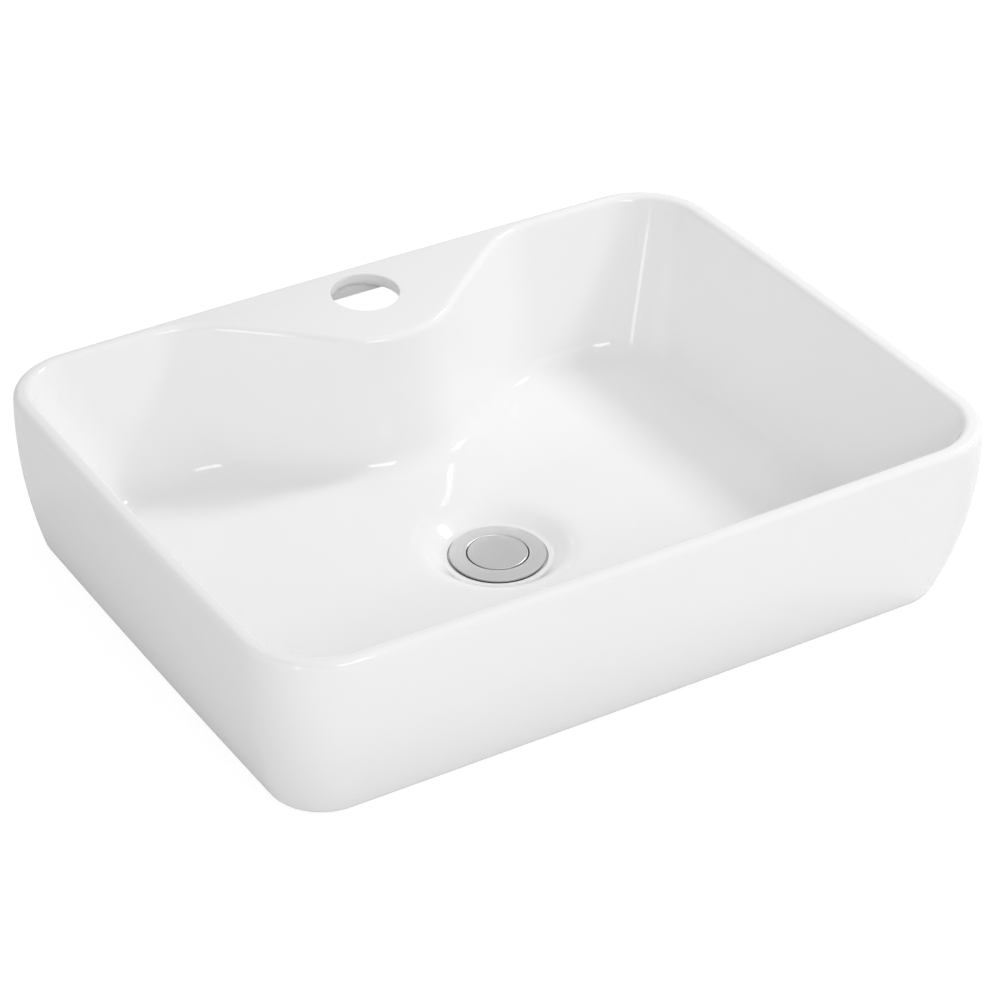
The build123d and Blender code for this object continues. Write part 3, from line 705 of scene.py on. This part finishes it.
reach = maths(turning, "LENGTH", flat, kind="ShaderNodeVectorMath", output="Value")
spread = wire(turning, "ShaderNodeCombineXYZ", {
    "X": maths(turning, "MULTIPLY", reach, given.outputs["Rings per metre"]),
    "Y": maths(turning, "MULTIPLY", bearing, 1.5),
    "Z": maths(turning, "MULTIPLY", apart["Z"], given.outputs["Rings per metre"]),
}).outputs[0]
rings = wire(turning, "ShaderNodeTexNoise", {
    "Vector": spread, "Scale": 1.0, "Detail": 3.0, "Roughness": 0.6,
}).outputs["Fac"]


def send_out(tree, given, made, marks):
    """Turns one pattern of marks into a group's tone, roughness and height."""
    tone = wire(tree, "ShaderNodeMix", {"Factor": marks}, data_type="RGBA")
    tree.links.new(given.outputs["Dark tone"], colour_in(tone, "A"))
    tree.links.new(given.outputs["Light tone"], colour_in(tone, "B"))
    tree.links.new(tone.outputs[2], made.inputs["Color"])
    finish = wire(tree, "ShaderNodeMapRange", {
        "Value": marks, "To Min": given.outputs["Roughness low"],
        "To Max": given.outputs["Roughness high"],
    }).outputs[0]
    tree.links.new(finish, made.inputs["Roughness"])
    tree.links.new(marks, made.inputs["Height"])


send_out(turning, given, made, rings)


def surfaced(name, effect, light, dark, low, high, per_metre, bump, strength, metallic):
    """A material whose tone, gloss and relief come from one of the groups of marks."""
    material, tree, shader = new_material(name)
    marks = wire(tree, "ShaderNodeGroup", node_tree=effect)
    for socket, value in zip(marks.inputs, ((*light, 1), (*dark, 1), low, high, per_metre)):
        socket.default_value = value
    tree.links.new(marks.outputs["Color"], shader.inputs["Base Color"])
    tree.links.new(marks.outputs["Roughness"], shader.inputs["Roughness"])
    relief = wire(tree, "ShaderNodeBump", {
        "Strength": strength, "Distance": bump, "Height": marks.outputs["Height"],
    })
    tree.links.new(relief.outputs["Normal"], shader.inputs["Normal"])
    shader.inputs["Metallic"].default_value = metallic
    return material


def turned_metal(name, light, dark, low, high, rings_per_metre, bump):
    """A metal with the lathe's rings in its tone, its gloss and its surface."""
    return surfaced(name, turning, light, dark, low, high, rings_per_metre, bump, 0.5, 1.0)


satin = turned_metal("satin_metal", (0.86, 0.86, 0.862), (0.72, 0.72, 0.724), 0.28, 0.44, 2600.0, 0.00004)
brass = turned_metal("turned_brass", (0.80, 0.66, 0.38), (0.62, 0.48, 0.24), 0.22, 0.40, 1800.0, 0.00005)
dress(waste, satin)
waste.data.materials.append(brass)
satin_from = 11.2 * MM
for polygon in waste.data.polygons:
    polygon.material_index = 1 if polygon.center.z < satin_from else 0
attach(waste, "basin")
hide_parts("waste_body")

# Barrel thread
# The G 1 1/4 thread that the nut runs up on, cut in the barrel's brass from its end to the clay:
# one ridge that winds round it at 2.309 mm a turn, with a pointed crest.
THREAD_TURNS = 21.0
winding = bpy.data.node_groups.new("thread_ridge", "GeometryNodeTree")
winding.interface.new_socket("Geometry", in_out="OUTPUT", socket_type="NodeSocketGeometry")
sockets = {}
for label, kind, value in (
    ("Turns", "NodeSocketFloat", THREAD_TURNS), ("Pitch", "NodeSocketFloat", 0.002309),
    ("Ridge radius", "NodeSocketFloat", 0.0208), ("Ridge size", "NodeSocketFloat", 0.0008),
    ("Material", "NodeSocketMaterial", None),
):
    sockets[label] = winding.interface.new_socket(label, in_out="INPUT", socket_type=kind)
    if value is not None:
        sockets[label].default_value = value
given = winding.nodes.new("NodeGroupInput")
asked = given.outputs
spiral = wire(winding, "GeometryNodeCurveSpiral", {
    "Resolution": 48, "Rotations": asked["Turns"], "Start Radius": asked["Ridge radius"],
    "End Radius": asked["Ridge radius"],
    "Height": maths(winding, "MULTIPLY", asked["Turns"], asked["Pitch"]),
})
crest = wire(winding, "GeometryNodeCurvePrimitiveCircle", {
    "Resolution": 6, "Radius": asked["Ridge size"],
})
ridge = wire(winding, "GeometryNodeCurveToMesh", {
    "Curve": spiral.outputs[0], "Profile Curve": crest.outputs["Curve"], "Fill Caps": True,
})
seat = wire(winding, "GeometryNodeTransform", {
    "Geometry": ridge.outputs[0], "Translation": mm(0, DRAIN_Y, -49.2),
})
real = wire(winding, "GeometryNodeRealizeInstances", {"Geometry": seat.outputs[0]})
painted = wire(winding, "GeometryNodeSetMaterial", {
    "Geometry": real.outputs[0], "Material": asked["Material"],
})
made = winding.nodes.new("NodeGroupOutput")
winding.links.new(painted.outputs[0], made.inputs[0])
thread = add_object("barrel_thread", bpy.data.meshes.new("barrel_thread"))
step = thread.modifiers.new("thread", "NODES")
step.node_group = winding
step[sockets["Material"].identifier] = brass
step[sockets["Turns"].identifier] = THREAD_TURNS
bake(thread)
smooth(thread, 40)
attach(thread, "basin")

# Rubber and plastic rings
# The flange gasket under the flange, the tapered gasket and the slip washer under the clay, and
# the thin gasket of the tailpiece: moulded rings that the nut and the tailpiece squeeze.
grain, given, made = group("moulded_grain", [
    ("Light tone", "NodeSocketColor", (0.1, 0.1, 0.1, 1)),
    ("Dark tone", "NodeSocketColor", (0.05, 0.05, 0.05, 1)),
    ("Roughness low", "NodeSocketFloat", 0.5), ("Roughness high", "NodeSocketFloat", 0.7),
    ("Grain per metre", "NodeSocketFloat", 900.0),
], [("Color", "NodeSocketColor"), ("Roughness", "NodeSocketFloat"), ("Height", "NodeSocketFloat")])
place = wire(grain, "ShaderNodeTexCoord").outputs["Object"]
specks = wire(grain, "ShaderNodeTexNoise", {
    "Vector": place, "Scale": given.outputs["Grain per metre"], "Detail": 4.0, "Roughness": 0.55,
}).outputs["Fac"]
send_out(grain, given, made, specks)


def moulded(name, light, dark, low, high, grains_per_metre, bump):
    """A moulded rubber or plastic with a fine grain in its tone, gloss and surface."""
    return surfaced(name, grain, light, dark, low, high, grains_per_metre, bump, 0.4, 0.0)


rubber = moulded("black_rubber", (0.045, 0.045, 0.046), (0.022, 0.022, 0.023), 0.55, 0.75, 1500.0, 0.00003)
white_plastic = moulded("white_plastic", (0.84, 0.84, 0.82), (0.78, 0.78, 0.76), 0.35, 0.48, 700.0, 0.00001)
grey_plastic = moulded("grey_plastic", (0.36, 0.37, 0.38), (0.28, 0.29, 0.30), 0.38, 0.52, 900.0, 0.00001)

ring_pieces = (
    ("gasket_under_flange", "flange_gasket", "black_rubber", rubber,
     [(22.5, 10.4), (28.4, 10.4), (28.4, 11.6), (22.5, 11.6)], 0.3),
    ("gasket_under_clay", "underside_gasket", "black_rubber", rubber,
     [(21.7, -4.8), (27.5, -4.8), (31.0, 3.2), (21.7, 3.2)], 0.9),
    ("washer_under_gasket", "slip_washer", "white_plastic", white_plastic,
     [(22.1, -6.3), (30.0, -6.3), (30.0, -4.8), (22.1, -4.8)], 0.4),
    ("gasket_of_tailpiece", "tailpiece_gasket", "black_rubber", rubber,
     [(18.8, -51.0), (21.4, -51.0), (21.4, -50.0), (18.8, -50.0)], 0.2),
)
for name, node, finish_slot, material, profile, soft in ring_pieces:
    ring = smooth(turned(name, rounded(profile, soft), segments=128))
    dress(ring, material)
    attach(ring, "basin")
    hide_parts(node)

# Back nut
# A cast brass nut, 56 mm across its six flats, with its corners turned off below. It is run up
# the barrel by hand and then with a spanner, and clamps the waste to the clay.
corner_r, nut_low, nut_high = 32.33, -15.3, -6.3
nut = prism("back_nut", [
    mm(corner_r * cos(pi / 3 * k), DRAIN_Y + corner_r * sin(pi / 3 * k), nut_low) for k in range(6)
], mm(0, 0, nut_high - nut_low))
turned_off = turned("turned_off", [
    (21.7, nut_low), (28.0, nut_low), (37.0, -9.3), (37.0, nut_high), (21.7, nut_high),
], segments=144)
step = nut.modifiers.new("turned", "BOOLEAN")
step.operation, step.solver, step.object = "INTERSECT", "EXACT", turned_off
edge = nut.modifiers.new("edge", "BEVEL")
edge.width, edge.segments, edge.limit_method = 0.0004, 3, "ANGLE"
edge.angle_limit = radians(35)
bake(nut)
bpy.data.objects.remove(turned_off)
smooth(nut, 30)
dress(nut, brass)
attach(nut, "basin")
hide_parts("lock_nut")

# Tailpiece
# A plated brass tube, 32 mm across, that the trap's inlet is pushed on to. Its collar screws up
# into the barrel, by a shoulder with eight flats for a spanner.
chrome = turned_metal("chrome_tube", (0.80, 0.80, 0.81), (0.72, 0.72, 0.735), 0.06, 0.12, 900.0, 0.00001)
tail_profile = rounded([
    (14.8, -98.0), (16.0, -98.0), (16.0, -57.0), (22.0, -57.0), (22.0, -51.0), (18.65, -51.0),
    (18.65, -42.0), (17.6, -42.0), (17.6, -50.0), (14.8, -51.5),
], 0.4)
tail = turned("tailpiece_turned", tail_profile, segments=192)
flats_r = 21.2 / cos(pi / 8)
flats = prism("flats", [
    mm(flats_r * cos(pi / 4 * k + pi / 8), DRAIN_Y + flats_r * sin(pi / 4 * k + pi / 8), -120.0)
    for k in range(8)
], mm(0, 0, 90.0))
cut(tail, [flats], "INTERSECT")
smooth(tail, 28)
dress(tail, chrome)
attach(tail, "basin")
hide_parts("tailpiece")

# Plug
# The cap that is pressed with a finger, a moulded core under it, and the seal in the core's
# groove. All three rise and sink together on the cartridge's rod.
cap_r, cap_edge, cap_edge_z = 18.1, 0.6, 13.6
cap_profile = [(0, 13.0), (17.2, 13.0), (17.2, 12.2), (cap_r, 12.2)]
for i in range(7):
    a = pi / 2 * i / 6
    cap_profile.append((cap_r - cap_edge + cap_edge * cos(a), cap_edge_z + cap_edge * sin(a)))
cap_profile += [(12.0, 14.19), (6.0, 14.17), (0, 14.16)]
cap = smooth(turned("push_cap", cap_profile, segments=256), 28)
cap_metal = turned_metal("satin_cap", (0.76, 0.76, 0.763), (0.68, 0.68, 0.683), 0.30, 0.42, 3000.0, 0.00003)
dress(cap, cap_metal)
seal_r, seal_z, seal_low, seal_high = 17.75, 10.2, 9.2, 11.2
seal_profile = [(16.2, seal_low), (seal_r, seal_low)]
seal_profile += [(seal_r + sin(pi * i / 10), seal_z - cos(pi * i / 10)) for i in range(1, 10)]
seal_profile += [(seal_r, seal_high), (16.2, seal_high)]
seal = smooth(turned("seal_ring", seal_profile, segments=128), 40)
dress(seal, rubber)
for piece, node, finish_slot in (
    (cap, "stopper_cap", "satin_metal"), (seal, "plug_seal", "black_rubber"),
):
    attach(piece, "plug")
    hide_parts(node)

# Cartridge
# A push-and-latch unit in the hub: a moulded housing with ribs, a plunger, a rotor that turns
# by a sixth of a turn at each stroke, a steel spring, and rubber rings. The CAD shapes stay.
spring_wire = turned_metal(
    "spring_wire", (0.72, 0.72, 0.73), (0.60, 0.60, 0.61), 0.18, 0.30, 1200.0, 0.00001)
for node, material in (
    ("stopper_plug", grey_plastic), ("cartridge_housing", grey_plastic), ("cartridge_seal", rubber),
    ("wiper_ring", rubber), ("cartridge_plunger", white_plastic), ("cartridge_rotor", grey_plastic),
    ("cartridge_spring", spring_wire), ("cartridge_end_plug", grey_plastic),
):
    dress(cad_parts[node], material)

# Stage
# A plain white floor that fades into a white surround, and keeps only a faint shadow.
floor_mesh = bpy.data.meshes.new("floor")
floor_mesh.from_pydata([(-6, -6, 0), (6, -6, 0), (6, 6, 0), (-6, 6, 0)], [], [(0, 1, 2, 3)])
floor = add_object("floor", floor_mesh)
floor_material = bpy.data.materials.new("floor_white")
floor_material.use_nodes = True
tree = floor_material.node_tree
tree.nodes.clear()
ray = wire(tree, "ShaderNodeLightPath")
plain = wire(tree, "ShaderNodeBsdfDiffuse", {"Color": (0.88, 0.88, 0.88, 1)})
faint = wire(tree, "ShaderNodeBsdfDiffuse", {"Color": (0.16, 0.16, 0.16, 1)})
glow = wire(tree, "ShaderNodeEmission", {"Color": (1, 1, 1, 1), "Strength": 0.9})
lit = wire(tree, "ShaderNodeAddShader", {0: faint.outputs[0], 1: glow.outputs[0]})
both = wire(tree, "ShaderNodeMixShader", {
    0: ray.outputs["Is Camera Ray"], 1: plain.outputs[0], 2: lit.outputs[0],
})
wire(tree, "ShaderNodeOutputMaterial", {"Surface": both.outputs[0]})
floor_mesh.materials.append(floor_material)

world = bpy.data.worlds.new("studio")
bpy.context.scene.world = world
world.use_nodes = True
tree = world.node_tree
tree.nodes.clear()
ray = wire(tree, "ShaderNodeLightPath").outputs
seen = maths(tree, "MAXIMUM", ray["Is Camera Ray"], ray["Is Transmission Ray"])
room = wire(tree, "ShaderNodeBackground", {"Color": (1, 1, 1, 1), "Strength": 0.63})
white = wire(tree, "ShaderNodeBackground", {"Color": (1, 1, 1, 1), "Strength": 1.0})
both = wire(tree, "ShaderNodeMixShader", {0: seen, 1: room.outputs[0], 2: white.outputs[0]})
wire(tree, "ShaderNodeOutputWorld", {"Surface": both.outputs[0]})

# Lamps
# A key lamp from the right, which throws the right wall's shadow into the bowl, a panel in
# front and above, and a narrow upright strip at the left that draws the highlights.
for name, power, width, height, position, target in (
    ("key", 6.6, 0.24, 0.24, (1.14, 0.06, 1.00), (0, 0, 0.06)),
    ("front", 4.6, 0.7, 0.4, (0.0, -1.30, 0.95), (0, 0, 0.05)),
    ("strip", 1.1, 0.14, 0.7, (-1.20, -0.86, 0.46), (0, 0, 0.05)),
):
    lamp_data = bpy.data.lights.new(name, "AREA")
    lamp_data.shape = "RECTANGLE"
    lamp_data.size, lamp_data.size_y = width, height
    lamp_data.energy = power
    lamp = add_object(name, lamp_data)
    lamp.location = position
    lamp.rotation_euler = (Vector(target) - Vector(position)).to_track_quat("-Z", "Y").to_euler()

# Camera
# Front left and above, with a long lens, where the photograph was taken from.
azimuth, elevation, distance = radians(31.13), radians(32.52), 2.0945
back = Vector((-sin(azimuth) * cos(elevation), -cos(azimuth) * cos(elevation), sin(elevation)))
camera_data = bpy.data.cameras.new("camera")
camera_data.lens = 128.52
camera_data.sensor_width = 36.0
camera_data.shift_x, camera_data.shift_y = 0.00537, -0.02328
camera_data.clip_start, camera_data.clip_end = 0.05, 50.0
camera = add_object("camera", camera_data)
camera.location = Vector((0, 0, 0.065)) + back * distance
camera.rotation_euler = (-back).to_track_quat("-Z", "Y").to_euler()
bpy.context.scene.camera = camera
bpy.context.scene.view_settings.view_transform = "Standard"
